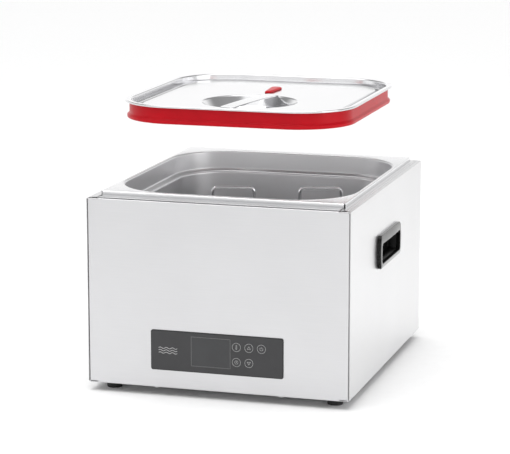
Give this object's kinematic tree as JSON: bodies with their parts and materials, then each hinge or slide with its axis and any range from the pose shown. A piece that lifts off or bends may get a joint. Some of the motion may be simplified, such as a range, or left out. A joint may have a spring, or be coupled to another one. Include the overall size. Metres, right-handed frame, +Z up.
{
  "type": "sous vide water bath",
  "caption": "Box-shaped stainless sous vide water bath with a rounded well, a bag rack, flush side handles, a front key panel and a lift-off lid with a red silicone seal.",
  "frame": {"origin": "on the floor under the middle of the body", "axes": "+Z up, the front with the key panel faces -Y, +X to the right seen from the front"},
  "size_m": [0.3912, 0.4342, 0.4018],
  "materials": {
    "housing_steel": "fine brushed sheet, nearly white in soft light",
    "base_steel": "plain galvanised sheet",
    "bath_steel": "satin deep-drawn sheet with bright bends",
    "wool": "mineral wool blanket",
    "spreader": "mill finish",
    "heater_sheath": "heat-darkened steel tube",
    "zinc_steel": "zinc plated",
    "cutout_body": "moulded phenolic with steel cap",
    "fascia_film": "fine matt dark grey film",
    "black_moulding": "moulded black",
    "display_glass": "smoked window, gloss",
    "circuit_board": "solder mask",
    "key_cap": "matt dark grey",
    "relay_case": "moulded white",
    "copper_winding": "varnished winding",
    "lead_cover": "silicone insulated lead",
    "handle_gloss": "polished black moulding",
    "pocket_black": "black moulding",
    "foot_rubber": "black rubber",
    "brass_stud": "plain brass",
    "rack_wire": "polished stainless wire",
    "lid_steel": "satin sheet with bright rim",
    "red_silicone": "red silicone, satin"
  },
  "bodies": {
    "housing": {"front_panel": "housing_steel", "left_panel": "housing_steel", "right_panel": "housing_steel", "rear_panel": "housing_steel", "base_plate": "base_steel", "deck": "bath_steel", "tank": "bath_steel", "insulation": "wool", "heater_plate": "spreader", "heater_element": "heater_sheath", "heater_clamps": "zinc_steel", "temp_sensor": "zinc_steel", "sensor_clip": "zinc_steel", "thermal_cutout": "cutout_body", "fascia": "fascia_film", "key_frame": "black_moulding", "display_window": "display_glass", "display_module": "black_moulding", "control_board": "circuit_board", "key_switches": "black_moulding", "power_board": "circuit_board", "power_relay": "relay_case", "transformer": "copper_winding", "board_standoffs": "relay_case", "wiring": "lead_cover", "power_inlet": "black_moulding", "inlet_screws": "zinc_steel", "handle_bezel_left": "handle_gloss", "handle_bezel_right": "handle_gloss", "handle_cup_left": "pocket_black", "handle_cup_right": "pocket_black", "foot_front_left": "foot_rubber", "foot_front_right": "foot_rubber", "foot_rear_left": "foot_rubber", "foot_rear_right": "foot_rubber", "foot_screws": "zinc_steel", "base_screws": "zinc_steel", "rear_screws": "zinc_steel", "earth_stud": "brass_stud"},
    "lid": {"lid_shell": "lid_steel", "lid_strap": "lid_steel", "lid_seal": "red_silicone"},
    "plug": {"lid_plug": "red_silicone"},
    "rack": {"rack_grid": "rack_wire", "rack_loop_rear_left": "rack_wire", "rack_loop_rear_right": "rack_wire", "rack_loop_front_left": "rack_wire", "rack_loop_front_right": "rack_wire"},
    "key_probe": {"key_probe": "key_cap"},
    "key_up": {"key_up": "key_cap"},
    "key_power": {"key_power": "key_cap"},
    "key_timer": {"key_timer": "key_cap"},
    "key_down": {"key_down": "key_cap"}
  },
  "joints": [
    {"name": "lid_lift", "type": "slide", "parent": "housing", "child": "lid", "axis": [0, 0, 1], "range_m": [-0.1225, 0]},
    {"name": "plug_pull", "type": "slide", "parent": "lid", "child": "plug", "axis": [0, 0, 1], "range_m": [0, 0.015]},
    {"name": "rack_lift", "type": "slide", "parent": "housing", "child": "rack", "axis": [0, 0, 1], "range_m": [0, 0.005]},
    {"name": "key_probe_press", "type": "slide", "parent": "housing", "child": "key_probe", "axis": [0, 1, 0], "range_m": [0, 0.0005], "stiffness_N_per_m": 800},
    {"name": "key_up_press", "type": "slide", "parent": "housing", "child": "key_up", "axis": [0, 1, 0], "range_m": [0, 0.0005], "stiffness_N_per_m": 800},
    {"name": "key_power_press", "type": "slide", "parent": "housing", "child": "key_power", "axis": [0, 1, 0], "range_m": [0, 0.0005], "stiffness_N_per_m": 800},
    {"name": "key_timer_press", "type": "slide", "parent": "housing", "child": "key_timer", "axis": [0, 1, 0], "range_m": [0, 0.0005], "stiffness_N_per_m": 800},
    {"name": "key_down_press", "type": "slide", "parent": "housing", "child": "key_down", "axis": [0, 1, 0], "range_m": [0, 0.0005], "stiffness_N_per_m": 800}
  ]
}
